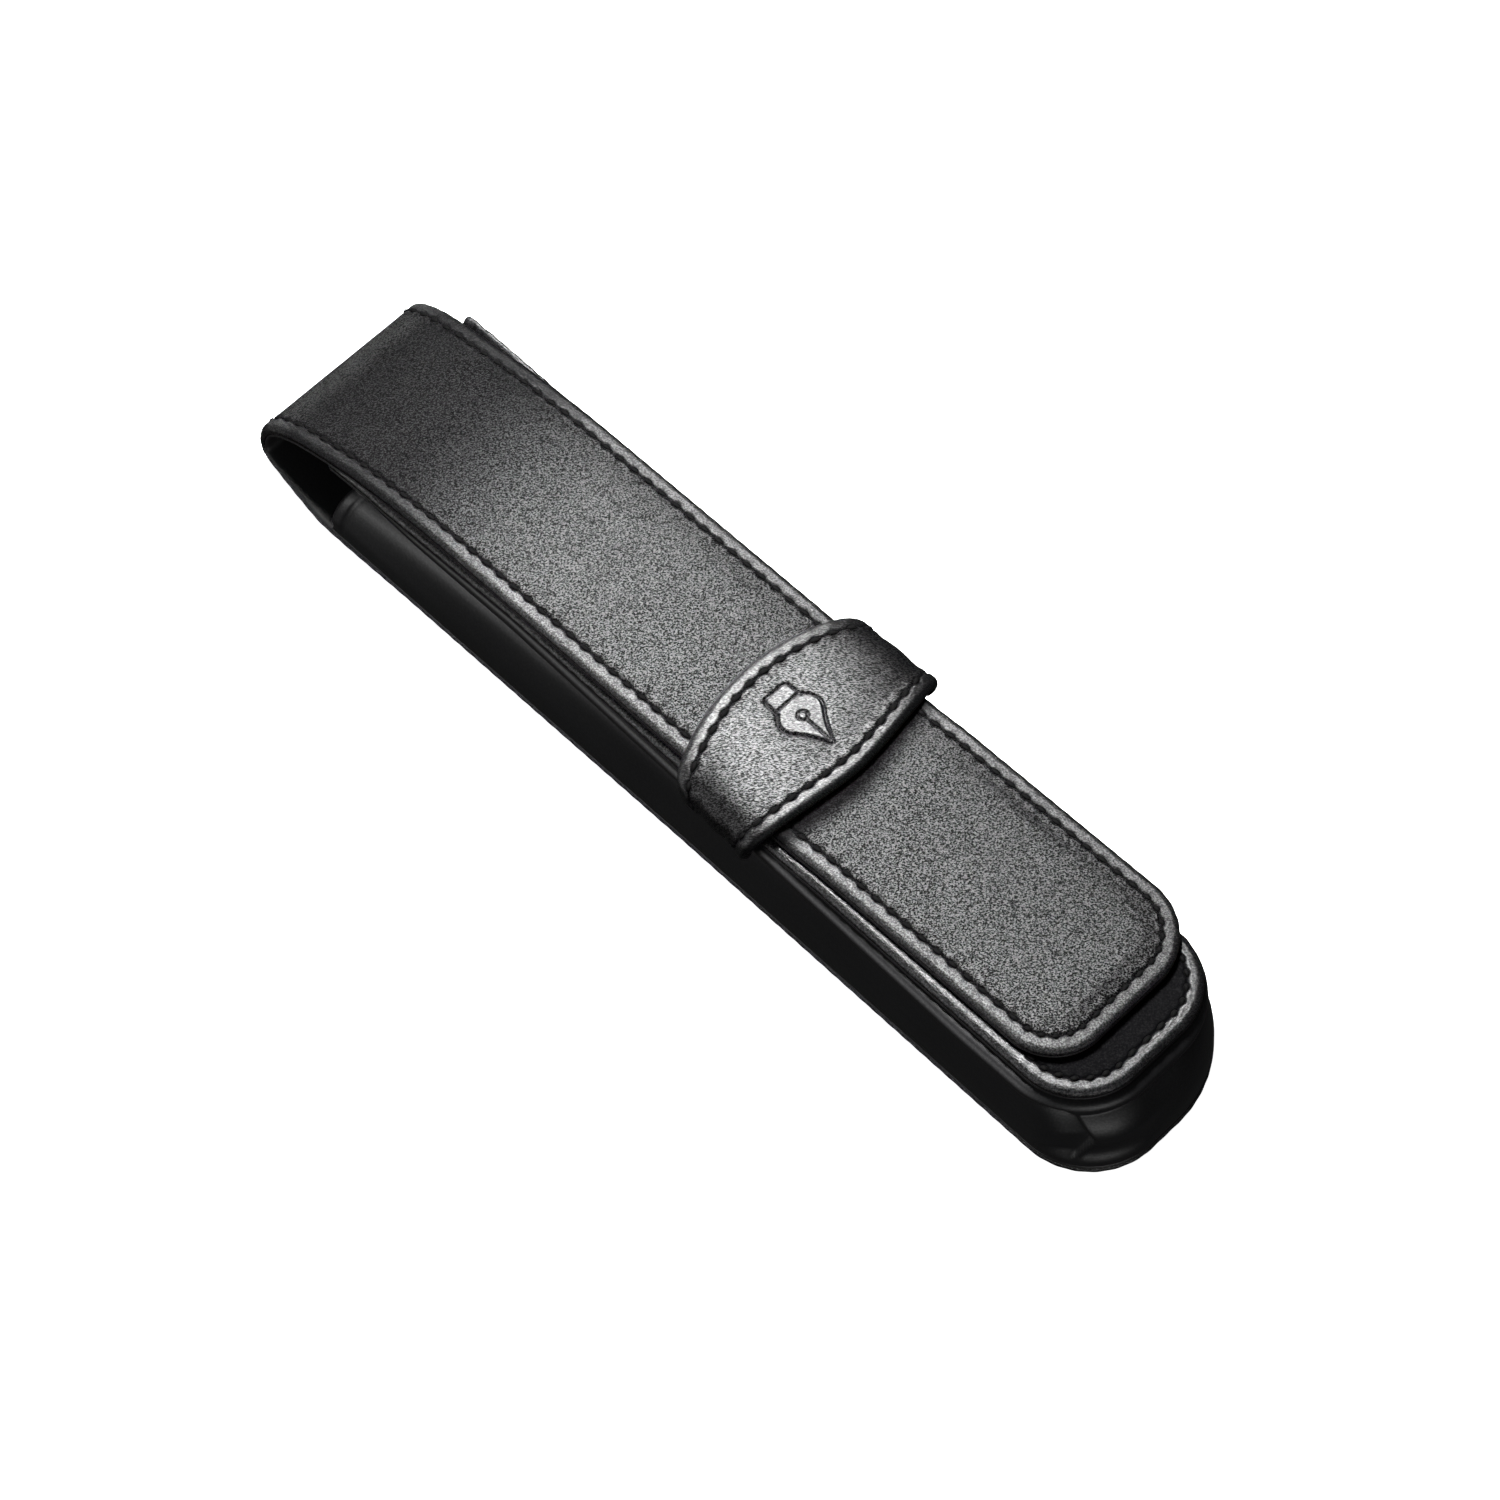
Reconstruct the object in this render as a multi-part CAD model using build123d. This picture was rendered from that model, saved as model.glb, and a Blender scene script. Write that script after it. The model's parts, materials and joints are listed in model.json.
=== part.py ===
from build123d import *
import math
import os

# A slim leather case for one fountain pen, lying on its back.
# Millimetres. +X runs from the fold to the closed end, +Y across, +Z up.
# The origin is the middle of the footprint, on the surface that the case lies on.

# Overall size
LENGTH = 161.5
FOLD_X = -LENGTH / 2
END_X = LENGTH / 2

# One panel: outer leather, a stiffening board let into its inner side, and a lining
PANEL_T = 1.9
LINING_T = 0.5
BOARD_T = 0.4
LEATHER_T = PANEL_T - LINING_T
LINING_INSET = 0.6

# Back panel, which lies on the table and curls up at the fold
BACK_HALF_WIDTH = 17.4
BACK_MOUTH_HALF_WIDTH = 16.8
BACK_NEAR_R = 8.5
BACK_FAR_R = 16.0
BACK_NARROW_X = -60.0
FOLD_HALF_WIDTH = 15.0
FOLD_SPLIT_Z = 5.6
FOLD_GAP = 0.3

# Pouch
MOUTH_BASE_X = -65.0
MOUTH_TOP_X = -67.0
FRONT_TOP_Z = 17.2
FRONT_HALF_WIDTH = 16.0
FRONT_END_X = 76.4
FRONT_NEAR_R = 10.0
FRONT_FAR_R = 12.0
DROOP_START_X = -30.0
MOUTH_DROOP = 3.3
GUSSET_T = 1.0
GUSSET_LINING_T = 0.5
FLANGE_T = 0.8
FLANGE_WIDTH = 5.0
LIP_HALF_WIDTH = 16.5
LIP_END_X = 77.0
WAIST_Z = 9.5
WAIST_HALF_WIDTH = 16.6
WAIST_END_X = 78.3
WAIST_NEAR_R = 9.2
WAIST_FAR_R = 14.0

# Flap, which folds over the mouth and ends in a tongue under the strap
FLAP_TOP_Z = 19.3
FLAP_HALF_WIDTH = 14.3
FLAP_END_X = 70.0
FLAP_NEAR_R = 8.0
FLAP_FAR_R = 10.5
FLAP_NARROW_X = -58.0
FLAP_BOARD_START_X = -36.0

# Strap across the front, which holds the tongue
STRAP_X = 10.9
STRAP_TOP_Z = 21.5
STRAP_HALF_SPAN = 18.3
STRAP_LEATHER_T = 1.0
STRAP_LINING_T = 0.6
STRAP_SHOULDER_R = 4.6
STRAP_SIDE_HALF_LENGTH = 6.3
STRAP_BULGE = 4.6
STRAP_TAIL = 5.5

# Stiffening boards, set back from the edges they stiffen
BOARD_INSET = 4.6

# Thread, lying flush in the leather a little inside each edge
STITCH_INSET = 2.3
THREAD_WIDTH = 0.6
THREAD_DEPTH = 0.5

END_BULGE = 1.3
TALL = 60.0
FRONT_BOTTOM_Z = FRONT_TOP_Z - PANEL_T

# The fold's outer face leaves its tip upright and bends level in turns of (radius, degrees).
# The last turn takes what is left of the right angle and of the height.
UNDERSIDE_TURNS = [(3.0, 74)]
UPPER_TURNS = [(7.5, 52), (19.0, 22)]


def rounded(near, near_r, far, far_r):
    """A face with two of its corners rounded differently."""
    face = fillet(near, near_r)
    corner = face.vertices().sort_by_distance(Vector(far))[0]
    return fillet(corner, far_r)


def tongue(start_x, end_x, half_width, near_r, far_r, start_half_width=None, knee=None):
    """A flat outline with straight sides and a slightly bowed end. Its corner at +Y is cut rounder."""
    start_half_width = start_half_width or half_width
    side_end_x = end_x - END_BULGE
    points = [(side_end_x, half_width)]
    if knee:
        points.append(knee)
    points.append((start_x, start_half_width))
    points += [(x, -y) for x, y in reversed(points)]
    outline = Polyline(*points)
    outline += ThreePointArc((side_end_x, -half_width), (end_x, 0), (side_end_x, half_width))
    face = make_face(outline)
    near, far = face.vertices().sort_by(Axis.X)[-2:].sort_by(Axis.Y)
    return rounded(near, near_r, far, far_r)


def back_outline(inset=0.0, start_inset=0.0):
    """The back panel seen from above, narrowing towards the fold."""
    return tongue(
        FOLD_X + start_inset,
        END_X - inset,
        BACK_HALF_WIDTH - inset,
        BACK_NEAR_R - inset,
        BACK_FAR_R - inset,
        FOLD_HALF_WIDTH - inset,
        (BACK_NARROW_X, BACK_MOUTH_HALF_WIDTH - inset),
    )


def flap_outline(inset=0.0, start_inset=0.0):
    """The flap seen from above, from the fold to the end of its tongue."""
    return tongue(
        FOLD_X + start_inset,
        FLAP_END_X - inset,
        FLAP_HALF_WIDTH - inset,
        FLAP_NEAR_R - inset,
        FLAP_FAR_R - inset,
        FOLD_HALF_WIDTH - inset,
        (FLAP_NARROW_X, FLAP_HALF_WIDTH - inset),
    )


def front_outline(inset=0.0):
    """The front panel of the pouch seen from above."""
    return tongue(
        MOUTH_TOP_X + inset,
        FRONT_END_X - inset,
        FRONT_HALF_WIDTH - inset,
        FRONT_NEAR_R - inset,
        FRONT_FAR_R - inset,
    )


def board_outline(start_x, end_x, half_width, near_r, far_r):
    """A board's outline, held back from the panel's stitching on every side."""
    inset = BOARD_INSET
    return tongue(start_x, end_x - inset, half_width - inset, near_r - inset, far_r - inset)


def column(outline):
    """Everything above an outline, to cut a curved layer to its plan shape."""
    return extrude(outline, amount=TALL, dir=(0, 0, 1))


def across(profile):
    """A side profile, drawn as length and height, widened across the case both ways."""
    return extrude(Plane.XZ * profile, amount=TALL / 2, both=True)


def levelled(turns, rise):
    """The turns with a last one added, so that the curve ends level after the whole rise."""
    heading = 90
    for radius, angle in turns:
        before = math.cos(math.radians(heading))
        heading -= angle
        rise -= radius * (math.cos(math.radians(heading)) - before)
    return turns + [(rise / (1 - math.cos(math.radians(heading))), heading)]


def curl(start_z, upward, turns, depth):
    """The fold's curve at a depth inside the outer face, as arcs from the tip inwards."""
    start = Vector(FOLD_X + depth, start_z)
    tangent = Vector(0, upward)
    arcs = []
    for radius, angle in turns:
        arc = JernArc(start, tangent, radius - depth, -upward * angle)
        start = arc @ 1
        tangent = arc % 1
        arcs.append(arc)
    return arcs


def curled_layer(start_z, upward, turns, far_x, near_depth, far_depth):
    """The leather between two depths under a face that curls at the fold and then runs straight."""
    outer = curl(start_z, upward, turns, near_depth)
    inner = curl(start_z, upward, turns, far_depth)
    outer_end = Vector(far_x, (outer[-1] @ 1).Y)
    inner_end = Vector(far_x, (inner[-1] @ 1).Y)
    lines = [
        Line(outer[-1] @ 1, outer_end),
        Line(outer_end, inner_end),
        Line(inner_end, inner[-1] @ 1),
        Line(inner[0] @ 0, outer[0] @ 0),
    ]
    return across(make_face(outer + inner + lines))


def back_layer(near_depth, far_depth):
    """A layer of the back panel, from its underside inwards."""
    start_z = FOLD_SPLIT_Z - FOLD_GAP / 2
    turns = levelled(UNDERSIDE_TURNS, start_z)
    return curled_layer(start_z, -1, turns, END_X + 1, near_depth, far_depth)


def flap_layer(near_depth, far_depth):
    """A layer of the flap, from its outer face inwards."""
    start_z = FOLD_SPLIT_Z + FOLD_GAP / 2
    turns = levelled(UPPER_TURNS, FLAP_TOP_Z - start_z)
    return curled_layer(start_z, 1, turns, FLAP_END_X + 1, near_depth, far_depth)


def under_front(depth):
    """Everything lower than a depth under the front panel's outer face, which dips at the mouth."""
    top = FRONT_TOP_Z - depth
    dip = top - MOUTH_DROOP
    ceiling = [(END_X + 1, top), (DROOP_START_X, top), (MOUTH_TOP_X, dip), (FOLD_X, dip)]
    profile = Polyline((FOLD_X, 0), (END_X + 1, 0), *ceiling, close=True)
    return across(make_face(profile))


def front_layer(near_depth, far_depth):
    """A layer of the front panel, from its outer face inwards."""
    return under_front(near_depth) - under_front(far_depth)


def behind_mouth():
    """The pouch's side of its sloping mouth."""
    lean = (MOUTH_TOP_X - MOUTH_BASE_X) / FRONT_TOP_Z
    top_x = MOUTH_BASE_X + lean * TALL
    profile = Polyline((MOUTH_BASE_X, 0), (END_X + 1, 0), (END_X + 1, TALL), (top_x, TALL), close=True)
    return across(make_face(profile))


def pouch_block(inset):
    """The waisted outside of the pouch's wall, shrunk by an inset."""
    levels = [
        (PANEL_T, BACK_HALF_WIDTH, END_X, BACK_NEAR_R, BACK_FAR_R),
        (WAIST_Z, WAIST_HALF_WIDTH, WAIST_END_X, WAIST_NEAR_R, WAIST_FAR_R),
        (FRONT_BOTTOM_Z, LIP_HALF_WIDTH, LIP_END_X, FRONT_NEAR_R, FRONT_FAR_R),
    ]
    start_x = MOUTH_TOP_X - 1
    faces = []
    for z, half_width, end_x, near_r, far_r in levels:
        outline = tongue(start_x, end_x - inset, half_width - inset, near_r - inset, far_r - inset)
        faces.append(Pos(0, 0, z) * outline)
    return loft([faces[0], faces[1]], ruled=True) + loft([faces[1], faces[2]], ruled=True)


def slab(low, high):
    """A flat slice of space between two heights."""
    return Pos(0, 0, (low + high) / 2) * Box(LENGTH * 1.5, TALL, high - low)


def panel(layer, outline, lining_outline, board, thread):
    """Leather, board, lining and thread of one panel, each a separate solid."""
    board_solid = column(board) & layer(LEATHER_T - BOARD_T, LEATHER_T)
    thread_solid = column(thread) & layer(0, THREAD_DEPTH)
    leather = (column(outline) & layer(0, LEATHER_T)) - board_solid - thread_solid
    lining = column(lining_outline) & layer(LEATHER_T, PANEL_T)
    return leather, board_solid, lining, thread_solid


def thread_ring(outline):
    """The band that a row of stitches fills, a set distance inside an outline."""
    return outline(STITCH_INSET) - outline(STITCH_INSET + THREAD_WIDTH)


def open_thread(outline):
    """A row of stitches along the sides and end only, which runs out at the fold."""
    return outline(STITCH_INSET) - outline(STITCH_INSET + THREAD_WIDTH, -1.0)


def strap_section(inset):
    """The strap's arch seen end on, shrunk by an inset, from the seam up."""
    low = FRONT_BOTTOM_Z + min(inset, LINING_T)
    high = STRAP_TOP_Z - inset
    half_span = STRAP_HALF_SPAN - inset
    section = Polyline((-half_span, low), (-half_span, high), (half_span, high), (half_span, low), close=True)
    face = make_face(section)
    top_corners = face.vertices().sort_by(Axis.Y)[-2:]
    return fillet(top_corners, STRAP_SHOULDER_R - inset)


def strap_block(inset):
    """The space under the strap's arch, all along the case."""
    return extrude(Plane.YZ * strap_section(inset), amount=TALL, both=True)


def strap_edge(direction, inset=0.0):
    """One of the strap's two bowed edges, as points at its ends and middle."""
    side_x = STRAP_X + direction * (STRAP_SIDE_HALF_LENGTH - inset)
    middle_x = side_x + direction * STRAP_BULGE
    reach = STRAP_HALF_SPAN + 1
    return ThreePointArc((side_x, -reach), (middle_x, 0), (side_x, reach))


def strap_plan(inset=0.0):
    """The lens-shaped outline of the strap between its bowed edges."""
    first = strap_edge(-1, inset)
    second = strap_edge(1, inset)
    return make_face(first + second + Line(first @ 0, second @ 0) + Line(first @ 1, second @ 1))


def half_space(direction):
    """Everything to one side of the strap's middle."""
    return Pos(STRAP_X + direction * TALL / 2, 0, 0) * Box(TALL, TALL, TALL * 2)


parts = {}

back_board = board_outline(BACK_NARROW_X + BOARD_INSET, END_X, BACK_HALF_WIDTH, BACK_NEAR_R, BACK_FAR_R)
back = panel(
    back_layer, back_outline(), back_outline(LINING_INSET, -1.0), back_board, open_thread(back_outline)
)
for name, solid in zip(["back_leather", "back_board", "back_lining", "back_stitching"], back):
    parts[name] = solid

flap_board = board_outline(FLAP_BOARD_START_X, FLAP_END_X, FLAP_HALF_WIDTH, FLAP_NEAR_R, FLAP_FAR_R)
flap = panel(
    flap_layer, flap_outline(), flap_outline(LINING_INSET, -1.0), flap_board, open_thread(flap_outline)
)
for name, solid in zip(["flap_leather", "flap_board", "flap_lining", "flap_stitching"], flap):
    parts[name] = solid

front_board = board_outline(MOUTH_TOP_X + BOARD_INSET, FRONT_END_X, FRONT_HALF_WIDTH, FRONT_NEAR_R, FRONT_FAR_R)
front = panel(
    front_layer, front_outline(), front_outline(LINING_INSET), front_board, thread_ring(front_outline)
)
for name, solid in zip(["front_leather", "front_board", "front_lining", "front_stitching"], front):
    parts[name] = solid

# Gusset: a waisted wall round three sides, with a flange turned in at its top and bottom
wall = pouch_block(0) - pouch_block(GUSSET_T)
core = pouch_block(FLANGE_WIDTH)
flange_top = pouch_block(0) & front_layer(PANEL_T, PANEL_T + FLANGE_T)
flange_bottom = pouch_block(0) & slab(PANEL_T, PANEL_T + FLANGE_T)
gusset = (wall + (flange_top - core) + (flange_bottom - core)) & under_front(PANEL_T)
parts["gusset_leather"] = (gusset & behind_mouth()) - back_layer(0, PANEL_T)

between_flanges = under_front(PANEL_T + FLANGE_T) & slab(PANEL_T + FLANGE_T, FRONT_TOP_Z)
gusset_lining = pouch_block(GUSSET_T) - pouch_block(GUSSET_T + GUSSET_LINING_T)
parts["gusset_lining"] = gusset_lining & between_flanges & behind_mouth()

# Strap: an arch over the tongue, whose two tails are sewn into the seam under the front panel
arch = strap_block(0) - strap_block(STRAP_LEATHER_T)
tail_reach = STRAP_HALF_SPAN - STRAP_TAIL
opening = Pos(0, 0, FRONT_BOTTOM_Z) * Box(TALL * 2, 2 * tail_reach, 2 * STRAP_LEATHER_T)
strap_leather = (arch - opening) & column(strap_plan())
strap_skin = strap_block(0) - strap_block(THREAD_DEPTH)
row_height = slab(FRONT_TOP_Z - LINING_T, TALL)
rows = column(strap_plan(STITCH_INSET)) - column(strap_plan(STITCH_INSET + THREAD_WIDTH))
strap_rows = strap_skin & rows & row_height
parts["strap_stitching_mouth_side"] = strap_rows & half_space(-1)
parts["strap_stitching_end_side"] = strap_rows & half_space(1)
parts["strap_leather"] = strap_leather - strap_rows
under_arch = strap_block(STRAP_LEATHER_T) - strap_block(STRAP_LEATHER_T + STRAP_LINING_T)
parts["strap_lining"] = under_arch & column(strap_plan()) & slab(FRONT_BOTTOM_Z + LINING_T, TALL)

# The lining is cut away where the strap's tails pass through the seam
parts["front_lining"] = parts["front_lining"] - (strap_leather & slab(0, FRONT_BOTTOM_Z + LINING_T))

os.makedirs("parts", exist_ok=True)
for name, solid in parts.items():
    export_step(solid, f"parts/{name}.step")
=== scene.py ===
import json
import math

import bmesh
import bpy
import numpy as np
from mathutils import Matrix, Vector
from mathutils.geometry import delaunay_2d_cdt

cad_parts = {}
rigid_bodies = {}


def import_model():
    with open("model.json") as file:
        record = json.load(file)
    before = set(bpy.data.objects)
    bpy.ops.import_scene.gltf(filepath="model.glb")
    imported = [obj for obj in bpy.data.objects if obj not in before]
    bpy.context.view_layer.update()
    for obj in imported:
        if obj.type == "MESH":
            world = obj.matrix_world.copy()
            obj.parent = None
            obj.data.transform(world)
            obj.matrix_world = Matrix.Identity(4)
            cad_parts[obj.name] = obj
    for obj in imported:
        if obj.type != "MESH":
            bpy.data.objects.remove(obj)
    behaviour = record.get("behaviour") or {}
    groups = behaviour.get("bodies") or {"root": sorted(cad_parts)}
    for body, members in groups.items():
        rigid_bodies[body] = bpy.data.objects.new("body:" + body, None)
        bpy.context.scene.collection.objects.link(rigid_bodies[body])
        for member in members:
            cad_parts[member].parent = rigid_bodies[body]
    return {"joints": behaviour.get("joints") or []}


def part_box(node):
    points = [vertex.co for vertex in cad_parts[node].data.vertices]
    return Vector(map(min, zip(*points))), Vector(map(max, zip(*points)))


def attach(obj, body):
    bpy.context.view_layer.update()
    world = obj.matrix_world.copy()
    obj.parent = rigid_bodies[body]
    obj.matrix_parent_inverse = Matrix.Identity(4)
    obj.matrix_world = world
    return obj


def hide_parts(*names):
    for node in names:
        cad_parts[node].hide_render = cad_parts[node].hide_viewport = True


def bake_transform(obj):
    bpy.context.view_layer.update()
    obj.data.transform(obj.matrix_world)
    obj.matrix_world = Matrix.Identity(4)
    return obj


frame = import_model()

# Everything below is worked out in millimetres and turned into metres as it becomes a mesh.
MM = 0.001
MERGE = 0.002  # points closer than this are made one
RNG = np.random.default_rng(7)
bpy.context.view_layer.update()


def box_mm(node):
    """A CAD node's lowest and highest corners, in millimetres."""
    return [np.array(corner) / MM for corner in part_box(node)]


BACK_LOW, BACK_HIGH = box_mm("back_leather")
_, FLAP_HIGH = box_mm("flap_leather")
FRONT_LOW, FRONT_HIGH = box_mm("front_leather")
_, GUSSET_HIGH = box_mm("gusset_leather")
STRAP_LOW, STRAP_HIGH = box_mm("strap_leather")
HINGE = np.array(frame["joints"][0]["pos_m"]) / MM

# Leather
LEATHER_T = 1.4
LINING_T = 0.5
PANEL_T = LEATHER_T + LINING_T

# Seams
PITCH = 2.7
STITCH_INSET = 2.3
STATIONS_PER_STITCH = 14
SQUARE_END_REACH = 9  # how far from a square end an outline is moved straight inwards

# Strap
STRAP_T = 1.25
STRAP_X = (STRAP_LOW[0] + STRAP_HIGH[0]) / 2
STRAP_HALF_SPAN = 17.9
STRAP_SEAM_Z = 15.5
TAIL_R = 1.0
STRAP_LOWERED = 0.25  # below the CAD strap's top, to leave room for the middle's swell
STRAP_SWELL = 0.25
# Each bowed edge: its x at the middle of the top, how far its tails draw in, and how sharply it bows
STRAP_EDGES = {-1: (STRAP_X - 10.85, 6.3, 1.85), 1: (STRAP_X + 10.85, 3.7, 1.4)}
STRAP_STITCHES = 16
STRAP_ROWS_PER_STITCH = 22
STRAP_MIDDLE_ROWS = 130
STRAP_UNDER_ROWS = 10
STRAP_PUFF = 1.2
STRAP_LOWER_ROLL = ((0.9, 0.0), (0.3, 0.03), (0.08, 0.15), (0.0, 0.4))

# The fold's outer face bends level in turns of (radius, degrees) from its upright tip.
UNDERSIDE_TURNS = [(3.0, 74)]
UPPER_TURNS = [(7.5, 52), (19.0, 22)]
BACK_HALF_WIDTH = BACK_HIGH[1]


# ---------------------------------------------------------------- helpers

def smooth(low, high, x):
    """0 below low, 1 above high, and a soft step between."""
    t = np.clip((x - low) / (high - low), 0, 1)
    return t * t * (3 - 2 * t)


def bump(x, width):
    """A bell of height 1 at x = 0."""
    return np.exp(-((x / width) ** 2))


def along_of(line):
    """Distance along a line of each of its points."""
    return np.r_[0, np.cumsum(np.linalg.norm(np.diff(line, axis=0), axis=1))]


def places_at(where, stations, line, period=None):
    """A line's places at some stations, given the stations of its own points."""
    return np.stack([np.interp(where, stations, line[:, k], period=period) for k in range(2)], 1)


def unit(vectors):
    """The vectors scaled to a length of 1."""
    return vectors / np.linalg.norm(vectors, axis=1)[:, None]


def make_object(name, points_mm, faces, material, body, values=None):
    """A mesh object from points in millimetres, riding on a body. values holds a number for every
    point under each name, for the material to read."""
    mesh = bpy.data.meshes.new(name)
    mesh.from_pydata((np.asarray(points_mm) * MM).tolist(), [], faces)
    for key, numbers in (values or {}).items():
        attribute = mesh.attributes.new(key, "FLOAT", "POINT")
        attribute.data.foreach_set("value", np.asarray(numbers, np.float32))
    tidy = bmesh.new()
    tidy.from_mesh(mesh)
    bmesh.ops.remove_doubles(tidy, verts=tidy.verts, dist=MERGE * MM)
    bmesh.ops.recalc_face_normals(tidy, faces=tidy.faces)
    tidy.to_mesh(mesh)
    tidy.free()
    mesh.shade_smooth()
    mesh.materials.append(material)
    piece = bpy.data.objects.new(name, mesh)
    bpy.context.scene.collection.objects.link(piece)
    if body:
        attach(piece, body)
    return piece


# ---------------------------------------------------------------- outlines

def filleted(corners, spacing=0.05):
    """A polyline through (x, y, radius) corners with its corners rounded, as close points."""
    points = [np.array(c[:2], float) for c in corners]
    line = [points[0]]
    for i in range(1, len(points) - 1):
        before, here, after = points[i - 1], points[i], points[i + 1]
        radius = corners[i][2]
        a = (before - here) / np.linalg.norm(before - here)
        b = (after - here) / np.linalg.norm(after - here)
        half = math.acos(np.clip(a @ b, -1, 1)) / 2
        reach = radius / math.tan(half)
        centre = here + (a + b) / np.linalg.norm(a + b) * radius / math.sin(half)
        start, end = here + a * reach, here + b * reach
        first = math.atan2(*(start - centre)[::-1])
        turn = (math.atan2(*(end - centre)[::-1]) - first + math.pi) % (2 * math.pi) - math.pi
        for t in np.linspace(0, 1, max(3, int(radius * abs(turn) / spacing))):
            angle = first + turn * t
            line.append(centre + radius * np.array([math.cos(angle), math.sin(angle)]))
    line.append(points[-1])
    return np.array(line)


def resampled(line, count):
    """count + 1 evenly spaced points along a line."""
    along = along_of(line)
    return places_at(np.linspace(0, along[-1], count + 1), along, line)


class Outline:
    """A closed outline with a whole number of stitches on each side. Both sides are (x, y, radius)
    corners, from the middle of the end with the larger x to the middle of the other end."""

    def __init__(self, far_corners, near_corners, square_end=None):
        self.square_end = square_end
        halves = []
        for corners in (far_corners, near_corners):
            dense = filleted(corners)
            halves.append(resampled(dense, round(along_of(dense)[-1] / PITCH) * STATIONS_PER_STITCH))
        far, near = halves
        self.points = np.vstack([far, near[-2:0:-1]])
        self.stations = np.arange(len(self.points)) / STATIONS_PER_STITCH
        ahead = unit(np.roll(self.points, -2, 0) - np.roll(self.points, 2, 0))
        self.inward = np.stack([-ahead[:, 1], ahead[:, 0]], 1)

    def inset(self, depth):
        """The outline moved inwards. Near a square end it is mitred at the corners."""
        depth = np.asarray(depth)
        moved = self.points + self.inward * depth[..., None]
        if self.square_end:
            (far_x, far_y), (near_x, near_y) = self.square_end
            end_x = near_x + (far_x - near_x) * (moved[:, 1] - near_y) / (far_y - near_y)
            near = self.points[:, 0] < end_x + SQUARE_END_REACH
            moved[near, 0] = np.maximum(moved[:, 0], end_x + depth)[near]
            moved[near, 1] = np.clip(moved[:, 1], near_y + depth, far_y - depth)[near]
        return moved

    def phase(self):
        """0 at each stitch hole, 0.5 halfway along each stitch."""
        return self.stations % 1


# ---------------------------------------------------------------- the edge of a sewn leather panel

EDGE_R = 0.95
LINING_EDGE_R = 0.22
LINING_INSET = 0.05
# Depths in from the edge of a face's rows of points, closest together at the stitches
FACE_DEPTHS = [
    0.03, 0.1, 0.2, 0.33, 0.48, 0.65, 0.85, 1.05, 1.25, 1.42, 1.57, 1.7, 1.82,
    1.94, 2.06, 2.18, 2.3, 2.42, 2.54, 2.66, 2.78, 2.92, 3.1, 3.3, 3.6, 4.0,
]
PLAIN_DEPTHS = [0.03, 0.1, 0.2, 0.35, 0.6, 1.2]
INNER_DEPTH = 9.0  # given to every point further in
UNDER_SPACING = 3.0  # across the underside, which is plain
FILL_CHUNK = 400  # points that are tested against a ring at a time
# The roll of a panel's lower edge: depth in from the edge, and height above the underside
LOWER_ROLL = ((0.9, 0.0), (0.35, 0.02), (0.12, 0.1), (0.02, 0.26))


def mid_share(phase):
    """0 at each stitch hole, 1 halfway along each stitch."""
    return 0.5 - 0.5 * np.cos(2 * math.pi * phase)


def face_height(depth, phase, puff):
    """How far a sewn panel's outer face stands off its plain surface, at a depth in from its edge.
    The edge is rolled, the rim outside the stitches is full, and each stitch pulls a slot into the face."""
    mid = mid_share(phase)
    roll = np.clip(EDGE_R - depth, 0, EDGE_R)
    height = -(EDGE_R - np.sqrt(EDGE_R**2 - roll**2 + 1e-9))
    # the full rim
    height = height + 0.07 * puff * smooth(0.5, 1.1, depth) * smooth(2.0, 1.6, depth) * (0.6 + 0.4 * mid)
    # the slots, deepest and widest at mid-stitch, with a prick at each hole
    height -= (0.14 + 0.26 * mid) * bump(depth - STITCH_INSET, 0.13 + 0.22 * mid**2)
    from_hole = np.minimum(phase, 1 - phase) * PITCH
    height -= 0.12 * bump(from_hole, 0.2) * bump(depth - STITCH_INSET, 0.2)
    # the leather swells on both sides of a hole
    height += 0.05 * puff * (1 - mid) * bump(depth - 1.9, 0.3)
    height += 0.05 * puff * (1 - mid) * bump(depth - 2.8, 0.4)
    return height


def rim_share(depth):
    """1 on a panel's rim, 0 inside its stitches."""
    return smooth(STITCH_INSET + 0.1, STITCH_INSET - 0.5, depth)


def seam_share(depth, phase):
    """How dull the leather is in the slots that the stitches pull, where no polish reaches."""
    mid = mid_share(phase)
    return 0.97 * bump(depth - STITCH_INSET, 0.2 + 0.52 * mid)


def edge_scallop(depth, phase, puff):
    """The rim's sideways swell between stitches."""
    mid = mid_share(phase)
    return -0.05 * puff * (mid - 0.5) * bump(depth - 0.2, 0.8)


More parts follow.
